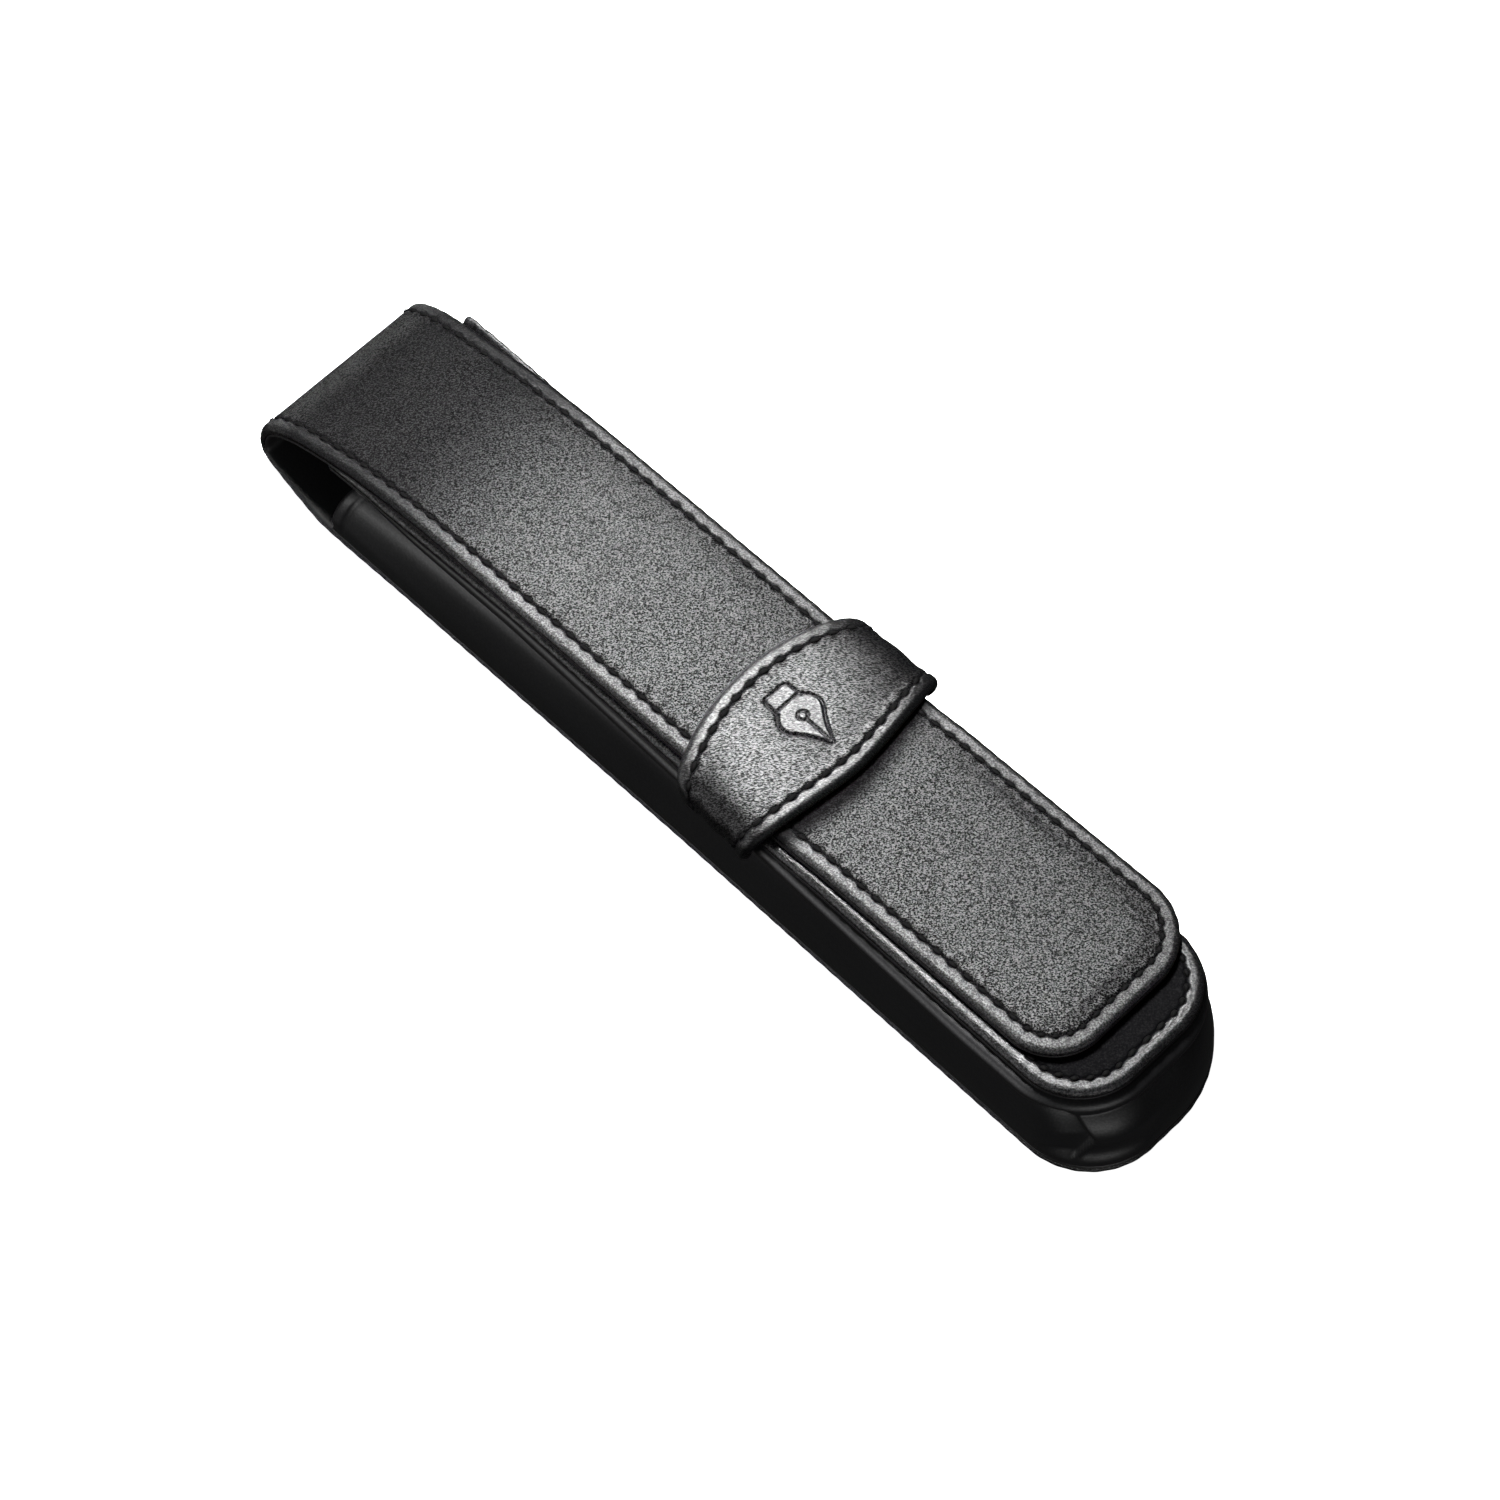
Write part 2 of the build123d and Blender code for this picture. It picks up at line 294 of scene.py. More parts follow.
def fill(ring, spacing):
    """Points inside a ring and the triangles that join them to it. The ring's points come first."""
    low, high = ring.min(0), ring.max(0)
    xs = np.arange(low[0] + spacing[0], high[0], spacing[0])
    ys = np.linspace(low[1], high[1], max(3, int((high[1] - low[1]) / spacing[1])) + 1)[1:-1]
    grid = np.stack(np.meshgrid(xs, ys), -1).reshape(-1, 2)
    x, y = ring[:, 0], ring[:, 1]
    after = np.roll(ring, -1, 0)
    inside = np.zeros(len(grid), bool)
    near = np.zeros(len(grid), bool)
    for chunk in np.array_split(np.arange(len(grid)), max(1, len(grid) // FILL_CHUNK)):
        p = grid[chunk][:, None]
        crosses = (y > p[..., 1]) != (after[:, 1] > p[..., 1])
        with np.errstate(divide="ignore", invalid="ignore"):
            at = (after[:, 0] - x) * (p[..., 1] - y) / (after[:, 1] - y) + x
        inside[chunk] = (crosses & (p[..., 0] < at)).sum(1) % 2 == 1
        near[chunk] = np.hypot(p[..., 0] - x, p[..., 1] - y).min(1) < min(spacing) * 0.6
    grid = grid[inside & ~near]
    points = np.vstack([ring, grid])
    count = len(ring)
    edges = [(i, (i + 1) % count) for i in range(count)]
    found = delaunay_2d_cdt([Vector(p) for p in points], edges, [], 1, 1e-7)
    source = [
        origin[0] if origin else int(np.hypot(*(points - np.array(place[:])).T).argmin())
        for place, origin in zip(found[0], found[3])
    ]
    triangles = [tuple(source[i] for i in face) for face in found[2]]
    triangles = [t for t in triangles if len(set(t)) == 3]
    return grid, triangles


def plate(outline, place, thickness, puff=1.0, crown=0.0, sewn=True, spacing=(0.7, 1.3)):
    """A flat panel with rolled edges as points and faces. place(x, y, height) puts it in space. crown is
    how far its middle swells, away from the fold. Returns the points, the faces, and each point's depth in
    from the edge."""
    phase = outline.phase()
    count = len(phase)
    rings, heights, depths = [], [], []

    def add(depth, height, moved=0.0):
        rings.append(outline.inset(np.full(count, depth) + moved))
        heights.append(np.broadcast_to(height, count))
        depths.append(np.full(count, depth))

    for depth, height in LOWER_ROLL:
        add(depth, height - thickness)
    if sewn:
        for depth in FACE_DEPTHS:
            add(depth, face_height(depth, phase, puff), edge_scallop(depth, phase, puff))
    else:
        for depth in PLAIN_DEPTHS:
            roll = max(LINING_EDGE_R - depth, 0)
            add(depth, math.sqrt(LINING_EDGE_R**2 - roll**2) - LINING_EDGE_R)
    faces = []
    for k in range(len(rings) - 1):
        a, b = k * count, (k + 1) * count
        faces += [(a + i, a + (i + 1) % count, b + (i + 1) % count, b + i) for i in range(count)]
    grid, triangles = fill(rings[-1], spacing)
    under, under_triangles = fill(rings[0], (spacing[0], UNDER_SPACING))
    last = (len(rings) - 1) * count
    base = len(rings) * count
    faces += [tuple(last + i if i < count else base + i - count for i in t) for t in triangles]
    base += len(grid)
    faces += [tuple(i if i < count else base + i - count for i in t[::-1]) for t in under_triangles]
    flat = np.vstack([*rings, grid, under])
    height = np.concatenate([*heights, np.full(len(grid), heights[-1][0]), np.full(len(under), -thickness)])
    depth = np.concatenate([*depths, np.full(len(grid) + len(under), INNER_DEPTH)])
    top = np.arange(len(flat)) < len(flat) - len(under)
    crowned = 1 - (flat[:, 1] / np.abs(outline.points[:, 1]).max()) ** 2
    height = height + top * crown * crowned * smooth(0.6, 6.0, depth) * smooth(2, 35, flat[:, 0])
    return place(flat[:, 0], flat[:, 1], height), faces, depth


# ---------------------------------------------------------------- stitches

THREAD_R = 0.38
THREAD_SIDES = 7
THREAD_RINGS = 9
# A thread's axis: how far it slants across the seam, stands off the face and dips at its ends
THREAD_SLANT = 0.10
THREAD_RISE = -0.10
THREAD_DIP = 0.42


def stitches(place, line, holes):
    """Short threads from hole to hole. line(u, across) gives the flat place at a distance u along the
    seam and across it; place puts a flat place and a height into space."""
    points, faces = [], []
    t = np.linspace(0, 1, THREAD_RINGS)
    radius = THREAD_R * (0.3 + 0.7 * np.sin(math.pi * t).clip(0, 1) ** 0.8)
    around = np.linspace(0, 2 * math.pi, THREAD_SIDES, endpoint=False)
    for start, end in holes:
        wobble = RNG.normal(0, 0.03, 3)
        u = start + (end - start) * (0.15 + 0.70 * t)
        across = THREAD_SLANT * (2 * t - 1) + wobble[0]
        height = THREAD_RISE + wobble[1] * 0.5 - THREAD_DIP * (2 * np.abs(t - 0.5)) ** 3
        twist = 0.018 * np.sin(t[:, None] * 16 + 2 * around)
        base = len(points)
        for k in range(THREAD_RINGS):
            r = radius[k] + twist[k]
            flat = line(np.full(THREAD_SIDES, u[k]), across[k] + r * np.cos(around))
            points += list(place(flat[:, 0], flat[:, 1], height[k] + r * np.sin(around)))
        for k in range(THREAD_RINGS - 1):
            a = base + k * THREAD_SIDES
            for i in range(THREAD_SIDES):
                j = (i + 1) % THREAD_SIDES
                faces.append((a + i, a + j, a + THREAD_SIDES + j, a + THREAD_SIDES + i))
        faces.append(tuple(range(base + THREAD_SIDES - 1, base - 1, -1)))
        top = base + (THREAD_RINGS - 1) * THREAD_SIDES
        faces.append(tuple(range(top, top + THREAD_SIDES)))
    return np.array(points), faces


def outline_stitches(outline, place):
    """A stitch for each gap between an outline's holes."""
    count = len(outline.points)

    def line(u, across):
        station = u * STATIONS_PER_STITCH
        at = places_at(station, np.arange(count), outline.points, count)
        side = places_at(station, np.arange(count), outline.inward, count)
        return at + side * (STITCH_INSET + across)[:, None]

    return stitches(place, line, [(k, k + 1) for k in range(count // STATIONS_PER_STITCH)])


# ---------------------------------------------------------------- materials

def nodes_of(name):
    """A new material, its node tree and its shader."""
    material = bpy.data.materials.new(name)
    material.use_nodes = True
    tree = material.node_tree
    return material, tree, tree.nodes["Principled BSDF"]


def add_node(tree, kind, **settings):
    """A node with its inputs set by name."""
    node = tree.nodes.new(kind)
    for key, value in settings.items():
        if key in node.inputs:
            node.inputs[key].default_value = value
        else:
            setattr(node, key, value)
    return node


def ramp(tree, source, low, high, out_low=0.0, out_high=1.0):
    """A number mapped from one range to another."""
    node = add_node(tree, "ShaderNodeMapRange")
    node.inputs["From Min"].default_value = low
    node.inputs["From Max"].default_value = high
    node.inputs["To Min"].default_value = out_low
    node.inputs["To Max"].default_value = out_high
    tree.links.new(source, node.inputs["Value"])
    return node.outputs["Result"]


def math_node(tree, operation, a, b):
    """Two numbers or sockets put together."""
    node = add_node(tree, "ShaderNodeMath", operation=operation)
    for k, value in enumerate((a, b)):
        if isinstance(value, (int, float)):
            node.inputs[k].default_value = value
        else:
            tree.links.new(value, node.inputs[k])
    return node.outputs["Value"]


def set_tint(tree, shader, source, dark, light):
    """The base colour, from one colour to another by a number from 0 to 1."""
    node = add_node(tree, "ShaderNodeMix", data_type="RGBA")
    node.inputs["A"].default_value = (*dark, 1)
    node.inputs["B"].default_value = (*light, 1)
    tree.links.new(source, node.inputs["Factor"])
    tree.links.new(node.outputs["Result"], shader.inputs["Base Color"])


def set_relief(tree, shader, source, strength, depth_mm):
    """A fine relief in the surface."""
    node = add_node(tree, "ShaderNodeBump", Strength=strength, Distance=depth_mm * MM)
    tree.links.new(source, node.inputs["Height"])
    tree.links.new(node.outputs["Normal"], shader.inputs["Normal"])


def leather_grain(tree, where, grain_mm, stretch):
    """The height of the leather's grain: rounded pores with finer wrinkles between them."""
    link = tree.links.new
    grain = grain_mm * MM
    mapping = add_node(tree, "ShaderNodeMapping", vector_type="TEXTURE")
    mapping.inputs["Scale"].default_value = stretch
    mapping.inputs["Rotation"].default_value = (0, 0, math.pi / 4)
    link(where, mapping.inputs["Vector"])
    warp = add_node(tree, "ShaderNodeTexNoise", Scale=0.4 / grain, Detail=2.0)
    link(mapping.outputs["Vector"], warp.inputs["Vector"])
    mixed = add_node(tree, "ShaderNodeVectorMath", operation="MULTIPLY_ADD")
    link(warp.outputs["Color"], mixed.inputs[0])
    mixed.inputs[1].default_value = (grain * 1.1,) * 3
    link(mapping.outputs["Vector"], mixed.inputs[2])
    cells = add_node(tree, "ShaderNodeTexVoronoi", Scale=1 / grain, Randomness=1.0)
    cells.feature = "SMOOTH_F1"
    cells.inputs["Smoothness"].default_value = 0.15
    link(mixed.outputs["Vector"], cells.inputs["Vector"])
    fine = add_node(tree, "ShaderNodeTexNoise", Scale=1.2 / grain, Detail=4.0, Roughness=0.75)
    link(mixed.outputs["Vector"], fine.inputs["Vector"])
    pebbles = ramp(tree, cells.outputs["Distance"], 0.05, 0.75, 1.0, 0.0)
    wrinkles = ramp(tree, fine.outputs["Fac"], 0.3, 0.7)
    pebble_part = math_node(tree, "MULTIPLY", pebbles, 0.3)
    wrinkle_part = math_node(tree, "MULTIPLY", wrinkles, 0.7)
    return math_node(tree, "ADD", pebble_part, wrinkle_part)


def leather(name, color, grain_mm, grain_depth, roughness, gloss, speckle, stretch=(1, 1, 1)):
    """Dyed leather, smoother and glossier where it is stretched over a rim or pressed. The rim attribute
    is 1 there, and the dull attribute is 1 where the polish is gone. roughness and gloss, the specular
    level, are each for the grained face and for the rim. speckle is how much the grain's tops outshine
    its pores."""
    material, tree, shader = nodes_of(name)
    link = tree.links.new
    where = add_node(tree, "ShaderNodeTexCoord").outputs["Object"]
    rim = add_node(tree, "ShaderNodeAttribute", attribute_name="rim").outputs["Fac"]
    dull = add_node(tree, "ShaderNodeAttribute", attribute_name="dull").outputs["Fac"]
    tops = leather_grain(tree, where, grain_mm, stretch)
    set_relief(tree, shader, tops, 1.0, grain_depth)
    slow = add_node(tree, "ShaderNodeTexNoise", Scale=70.0, Detail=4.0, Roughness=0.6)
    link(where, slow.inputs["Vector"])
    blotches = slow.outputs["Fac"]
    set_tint(tree, shader, ramp(tree, blotches, 0.3, 0.7), [c * 0.9 for c in color], [c * 1.1 for c in color])
    rough = add_node(tree, "ShaderNodeMix", data_type="FLOAT")
    link(rim, rough.inputs["Factor"])
    link(ramp(tree, blotches, 0.3, 0.7, roughness[0] - 0.008, roughness[0] + 0.008), rough.inputs["A"])
    rough.inputs["B"].default_value = roughness[1]
    link(rough.outputs["Result"], shader.inputs["Roughness"])
    shine = add_node(tree, "ShaderNodeMix", data_type="FLOAT")
    link(rim, shine.inputs["Factor"])
    for key, level, swing in (("A", gloss[0], gloss[0] * speckle), ("B", gloss[1], gloss[1] * speckle * 0.6)):
        link(ramp(tree, tops, 0.37, 0.63, level - swing, level + swing), shine.inputs[key])
    polish_left = ramp(tree, dull, 0.0, 1.0, 1.0, 0.06)
    level = math_node(tree, "MULTIPLY", shine.outputs["Result"], polish_left)
    link(level, shader.inputs["Specular IOR Level"])
    return material


def thread_material():
    """Black twisted thread."""
    material, tree, shader = nodes_of("black_thread")
    where = add_node(tree, "ShaderNodeTexCoord").outputs["Object"]
    wave = add_node(tree, "ShaderNodeTexNoise", Scale=9000.0, Detail=2.0)
    tree.links.new(where, wave.inputs["Vector"])
    set_relief(tree, shader, wave.outputs["Fac"], 0.5, 0.03)
    set_tint(tree, shader, wave.outputs["Fac"], (0.001,) * 3, (0.0035,) * 3)
    shader.inputs["Roughness"].default_value = 0.75
    shader.inputs["Specular IOR Level"].default_value = 0.06
    return material


def board_material():
    """Grey fibre board with short pressed fibres."""
    material, tree, shader = nodes_of("fibre_board")
    link = tree.links.new
    where = add_node(tree, "ShaderNodeTexCoord").outputs["Object"]
    mapping = add_node(tree, "ShaderNodeMapping")
    mapping.inputs["Scale"].default_value = (0.25, 1, 1)
    link(where, mapping.inputs["Vector"])
    fibres = add_node(tree, "ShaderNodeTexNoise", Scale=2500.0, Detail=5.0, Roughness=0.7)
    link(mapping.outputs["Vector"], fibres.inputs["Vector"])
    shade = ramp(tree, fibres.outputs["Fac"], 0.3, 0.7)
    set_tint(tree, shader, shade, (0.26, 0.235, 0.20), (0.42, 0.39, 0.34))
    set_relief(tree, shader, fibres.outputs["Fac"], 0.4, 0.05)
    shader.inputs["Roughness"].default_value = 0.85
    return material


GRAINED = leather(
    "grained_leather", (0.0025, 0.0025, 0.0027), 0.27, 0.055,
    roughness=(0.30, 0.30), gloss=(0.4, 0.72), speckle=0.95, stretch=(1.15, 0.9, 1),
)
FRONT_GRAIN = leather(
    "front_grain", (0.0025, 0.0025, 0.0028), 0.27, 0.04,
    roughness=(0.42, 0.30), gloss=(0.015, 0.62), speckle=0.9, stretch=(1.15, 0.9, 1),
)
STRAP_GRAIN = leather(
    "strap_leather", (0.0025, 0.0025, 0.0027), 0.24, 0.04,
    roughness=(0.30, 0.30), gloss=(0.42, 0.66), speckle=0.9, stretch=(2, 0.7, 1),
)
GUSSET = leather(
    "gusset_leather", (0.006, 0.006, 0.0065), 0.4, 0.012,
    roughness=(0.42, 0.42), gloss=(0.4, 0.4), speckle=0.1,
)
LINING = leather(
    "lining_leather", (0.009, 0.009, 0.0095), 0.3, 0.015,
    roughness=(0.5, 0.5), gloss=(0.35, 0.35), speckle=0.1,
)
THREAD = thread_material()
BOARD = board_material()


# ---------------------------------------------------------------- the strip: back, fold and flap

UPPER_RUN = 140  # level lengths past the fold, more than enough for each side
UNDER_RUN = 170
PRESS = 0.6  # how deep the strap presses the flap
CROWN = 0.75  # how far the flap's middle swells
# Wear beside the strap's lower edge: how far past that edge it reaches, and half the width of its end
RUB_REACH = 2.8
RUB_FADE = 1.7
FOLD_WEAR = 0.85


def levelled(turns, rise):
    """The turns with a last one added, so that the curve ends level after the whole rise."""
    heading = 90
    for radius, angle in turns:
        before = math.cos(math.radians(heading))
        heading -= angle
        rise -= radius * (math.cos(math.radians(heading)) - before)
    return turns + [(rise / (1 - math.cos(math.radians(heading))), heading)]


def curl(turns, upward, run, step=0.1):
    """The outer face from the fold's tip: places (x, z), and outward directions, every step along it."""
    place, heading = np.array([HINGE[0], HINGE[2]]), upward * math.pi / 2
    places, outward = [place.copy()], [np.array([-1.0, 0.0])]
    legs = turns + [(None, run)]
    for radius, amount in legs:
        length = run if radius is None else radius * math.radians(amount)
        count = max(1, round(length / step))
        for _ in range(count):
            turn = 0 if radius is None else -upward * math.radians(amount) / count
            heading += turn / 2
            place = place + np.array([math.cos(heading), math.sin(heading)]) * length / count
            heading += turn / 2
            places.append(place.copy())
            outward.append(upward * np.array([-math.sin(heading), math.cos(heading)]))
    return np.array(places), np.array(outward)


UPPER_PLACES, UPPER_OUT = curl(levelled(UPPER_TURNS, FLAP_HIGH[2] - HINGE[2]), 1, UPPER_RUN)
UNDER_PLACES, UNDER_OUT = curl(levelled(UNDERSIDE_TURNS, HINGE[2] - BACK_LOW[2]), -1, UNDER_RUN)
UPPER_ALONG = along_of(UPPER_PLACES)
UNDER_ALONG = along_of(UNDER_PLACES)
# The strip's outer face from the back's end to the flap's: distances from the fold's tip, places, directions
STRIP_ALONG = np.r_[-UNDER_ALONG[:0:-1], UPPER_ALONG]
STRIP_PLACES = np.vstack([UNDER_PLACES[:0:-1], UPPER_PLACES])
STRIP_OUT = np.vstack([UNDER_OUT[:0:-1], UPPER_OUT])


def strap_press(x):
    """How deep the strap presses the flap and the front panel under it."""
    return PRESS * smooth(-1, 9, x) * smooth(29, 20.5, x)


def strip_place(s, y, height):
    """A place on the strip: s runs from the fold's tip, over the flap and, when negative, along the back."""
    x, z = places_at(s, STRIP_ALONG, STRIP_PLACES).T
    nx, nz = places_at(s, STRIP_ALONG, STRIP_OUT).T
    z = z - strap_press(x) * (s > 0)
    return np.stack([x + nx * height, y + 0 * x, z + nz * height], 1)


def flap_s(x):
    """How far along the strip from the fold's tip the flap reaches an x."""
    return np.interp(x, UPPER_PLACES[:, 0], UPPER_ALONG)


def back_s(x):
    """The same for the back, as a negative distance."""
    return -np.interp(x, UNDER_PLACES[:, 0], UNDER_ALONG)


def strip_outline(inset=0.0):
    """The strip laid flat. It was cut and sewn a little askew."""
    flap_end = flap_s(FLAP_HIGH[0]) - inset
    back_end = back_s(BACK_HIGH[0]) + inset
    far = [
        (flap_end, 0, 0),
        (flap_end, 15.5 - inset, 9.6 - inset),
        (flap_s(30), 14.9 - inset, 200),
        (flap_s(-62), 14.3 - inset, 60),
        (0, 14.7 - inset, 30),
        (back_s(-60), 16.8 - inset, 60),
        (back_end, BACK_HALF_WIDTH - inset, 18.0 - inset),
        (back_end, -2, 0),
    ]
    near = [
        (flap_end, 0, 0),
        (flap_end, inset - 14.1, 8.0 - inset),
        (flap_s(30), inset - 14.3, 200),
        (flap_s(-62), inset - 14.7, 60),
        (0, inset - 15.5, 24),
        (back_s(-67), inset - 17.1, 20),
        (back_s(-50), inset - 16.85, 100),
        (back_s(5), inset - 16.8, 400),
        (back_end, inset - 17.35, 11.5 - inset),
        (back_end, -2, 0),
    ]
    return Outline(far, near)


def blend_at_fold(piece):
    """The strip bends at the fold's tip when the flap swings."""
    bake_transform(piece)


def wear(points):
    """How dull the strip is: 1 beside the strap's edge that faces the closed end, and a little less over
    the fold, where the leather is bent most."""
    x, y, z = points.T
    middle, draw_in, power = STRAP_EDGES[1]
    edge = middle - draw_in * (np.abs(y + 2.6) / STRAP_HALF_SPAN) ** power + RUB_REACH
    rubbed = smooth(RUB_FADE, -RUB_FADE, x - edge) * smooth(10, 12, x) * (z > 14)
    bent = smooth(-28, -58, x) * smooth(-78, -73, x) * smooth(9, 13, z)
    return np.maximum(rubbed, FOLD_WEAR * bent)


def build_strip():
    """The back, the fold and the flap as one skin, with its lining and its thread."""
    outline = strip_outline()
    points, faces, depth = plate(outline, strip_place, LEATHER_T, crown=CROWN, spacing=(0.6, 1.3))
    seam = seam_share(depth, np.resize(outline.phase(), len(depth)))
    values = {"rim": rim_share(depth), "dull": np.maximum(wear(points), seam)}
    strip = make_object("strip_leather", points, faces, GRAINED, None, values)
    blend_at_fold(strip)
    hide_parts("back_leather", "flap_leather")

    def lining_place(s, y, height):
        return strip_place(s, y, height - LEATHER_T)

    inner = strip_outline(LINING_INSET)
    points, faces, _ = plate(inner, lining_place, LINING_T, sewn=False, spacing=(0.6, 2.0))
    lining = make_object("strip_lining", points, faces, LINING, None)
    blend_at_fold(lining)
    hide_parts("back_lining", "flap_lining")
    points, faces = outline_stitches(outline, strip_place)
    thread = make_object("strip_stitching", points, faces, THREAD, None)
    blend_at_fold(thread)
    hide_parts("back_stitching", "flap_stitching")


# ---------------------------------------------------------------- the front panel

FRONT_DROOP_X = -30.0
FRONT_DROOP = FRONT_HIGH[2] - LEATHER_T - FRONT_LOW[2]
MOUTH_FAR = (FRONT_LOW[0] - 3.2, 15.9)
MOUTH_NEAR = (FRONT_LOW[0], -14.4)
FAR_CURL = 1.8


def droop(x):
    """How far the front panel and the gusset's shoulder dip towards the mouth."""
    return FRONT_DROOP * np.clip((FRONT_DROOP_X - x) / (FRONT_DROOP_X - FRONT_LOW[0]), 0, 1)


def front_place(x, y, height):
    """A place on the front panel, whose far edge curls up beside the mouth."""
    far_curl = FAR_CURL * smooth(13.5, 16.0, y) * smooth(-40, -66, x)
    return np.stack([x, y + 0 * x, FRONT_HIGH[2] - droop(x) - strap_press(x) + far_curl + height], 1)


def front_outline(inset=0.0):
    """The front panel from above. It was cut a little askew and is square at the mouth."""
    end = FRONT_HIGH[0] - inset
    far_x, far_y = MOUTH_FAR[0] + inset, MOUTH_FAR[1] - inset
    near_x, near_y = MOUTH_NEAR[0] + inset, MOUTH_NEAR[1] + inset
    middle_x = far_x + (near_x - far_x) * far_y / (far_y - near_y)
    far = [
        (end, 0, 0),
        (end, 13.2 - inset, 10.0 - inset),
        (10, 14.7 - inset, 200),
        (far_x, far_y, 0.8),
        (middle_x, 0, 0),
    ]
    near = [
        (end, 0, 0),
        (end, inset - 16.0, 10.0 - inset),
        (45, inset - 15.8, 300),
        (near_x, near_y, 0.8),
        (middle_x, 0, 0),
    ]
    return Outline(far, near, ((far_x, far_y), (near_x, near_y)))


def build_front():
    """The front panel, with its lining and its thread."""
    outline = front_outline()
    points, faces, depth = plate(outline, front_place, LEATHER_T, puff=1.6)
    values = {"rim": rim_share(depth), "dull": seam_share(depth, np.resize(outline.phase(), len(depth)))}
    panel = make_object("front_panel_leather", points, faces, FRONT_GRAIN, "case", values)
    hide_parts("front_leather")

    def lining_place(x, y, height):
        return front_place(x, y, height - LEATHER_T)

    inner = front_outline(LINING_INSET)
    points, faces, _ = plate(inner, lining_place, LINING_T, sewn=False, spacing=(1.0, 2.0))
    lining = make_object("front_panel_lining", points, faces, LINING, "case")
    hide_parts("front_lining")
    points, faces = outline_stitches(outline, front_place)
    thread = make_object("front_panel_stitching", points, faces, THREAD, "case")
    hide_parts("front_stitching")


# ---------------------------------------------------------------- the gusset

GUSSET_STATIONS = 420
SHOULDER_GAP = 0.02
# Along the foot from the pinch's point to the closed end's middle, past half of the corner's turn
PINCH_BEFORE_MIDDLE = 2.0 + 11.5 * math.radians(45) + 1.6
PINCH_HEIGHT = 0.48  # as a share of the wall's
FAR_TURN_AFTER_MIDDLE = 17.0


def open_path(far_corners, near_corners):
    """An open U from the near mouth round the closed end to the far mouth, and its inward directions."""
    near = resampled(filleted(near_corners[::-1]), GUSSET_STATIONS)
    far = resampled(filleted(far_corners), GUSSET_STATIONS)
    path = np.vstack([near[:-1], far])
    ahead = unit(np.gradient(path, axis=0))
    return path, np.stack([-ahead[:, 1], ahead[:, 0]], 1)


def lip_path():
    """The gusset's shoulder, just outside the front panel."""
    end = GUSSET_HIGH[0] - 2.9
    far = [(end, 0, 0), (end, 14.3, 12.5), (0, 15.0, 200), (-63.3, 15.6, 0)]
    near = [(end, 0, 0), (end, -17.1, 12.0), (55, -17.2, 200)]
    near += [(-19, -15.2, 200), (-50, -14.4, 100), (-62.8, -13.6, 0)]
    return open_path(far, near)


def base_path():
    """The gusset's foot, sewn round the back's edge."""
    end = BACK_HIGH[0] - 0.12
    far = [(end, -2, 0), (end, BACK_HALF_WIDTH - 0.1, 18.0), (-64.6, 16.8, 0)]
    near = [(end, -2, 0), (end, -17.3, 11.5), (5, -16.85, 400), (-50, -16.9, 100), (-64.4, -16.9, 0)]
    return open_path(far, near)


# The wall's section: (height share from base 0 to lip 1, share of the shoulder's outline, inset)
WALL_SECTION = [
    # the flange under the front panel, and the shoulder's roll
    (1.000, 1.0, 5.0), (1.000, 1.0, 2.2), (0.998, 1.0, 1.5), (0.99, 1.0, 1.05), (0.975, 1.0, 0.62),
    (0.95, 1.0, 0.28), (0.92, 1.0, 0.05), (0.885, 1.0, 0.0), (0.85, 1.0, 0.12),
    # the crease under it
    (0.82, 0.98, 0.50), (0.79, 0.9, 0.95), (0.755, 0.76, 0.95),
    # the wall, out to the foot
    (0.70, 0.60, 0.80), (0.63, 0.45, 0.66), (0.56, 0.34, 0.54), (0.48, 0.24, 0.42), (0.40, 0.16, 0.32),
    (0.32, 0.10, 0.20), (0.24, 0.06, 0.10), (0.16, 0.03, 0.03), (0.09, 0.01, 0.0), (0.045, 0.0, 0.02),
    # the foot and the flange on the back
    (0.015, 0.0, 0.1), (0.0, 0.0, 0.3), (0.0, 0.0, 4.5),
]
# The inside of the same leather, back up to the flange
INNER_SECTION = [
    (0.05, 0.0, 4.5), (0.06, 0.0, 1.7), (0.4, 0.16, 1.8),
    (0.78, 0.9, 2.3), (0.93, 1.0, 1.9), (0.935, 1.0, 5.0),
]


def refined(section, factor):
    """A section with extra rows between its own, on a smooth curve."""
    last = len(section) - 1
    padded = np.array([section[0], *section, section[-1]])
    rows = []
    for station in np.linspace(0, last, last * factor + 1):
        k = min(int(station), last - 1)
        u = station - k
        a, b, c, d = padded[k:k + 4]
        square = 2 * a - 5 * b + 4 * c - d
        cube = 3 * b - a - 3 * c + d
        rows.append(0.5 * (2 * b + (c - a) * u + square * u**2 + cube * u**3))
    return np.array(rows)


def corner_pinch(along, height):
    """The wall's pinch at the near closed corner: two ridges that meet in a point, with a dent beside
    them on the long side and a hollow under the lower one. along is measured from the point, height is a
    share."""
    offset = height - PINCH_HEIGHT
    ridge = -np.where(offset > 0, 9.5, 7.5) * np.abs(offset)
    distance = along - ridge
    fade = smooth(0.06, 0.2, height) * smooth(0.94, 0.84, height)
    dent = -1.1 * smooth(-7.0, -0.7, distance) * smooth(0.25, -0.5, distance)
    dent = dent * smooth(0.5, 0.25, np.abs(offset))
    hollow = -0.8 * smooth(0.1, 0.9, distance) * smooth(16.0, 3.0, distance) * bump(offset + 0.22, 0.16)
    facet = 0.7 * smooth(-0.2, 0.5, distance) * smooth(12.0, 2.0, distance) * bump(offset - 0.1, 0.2)
    return fade * (dent + hollow + facet)


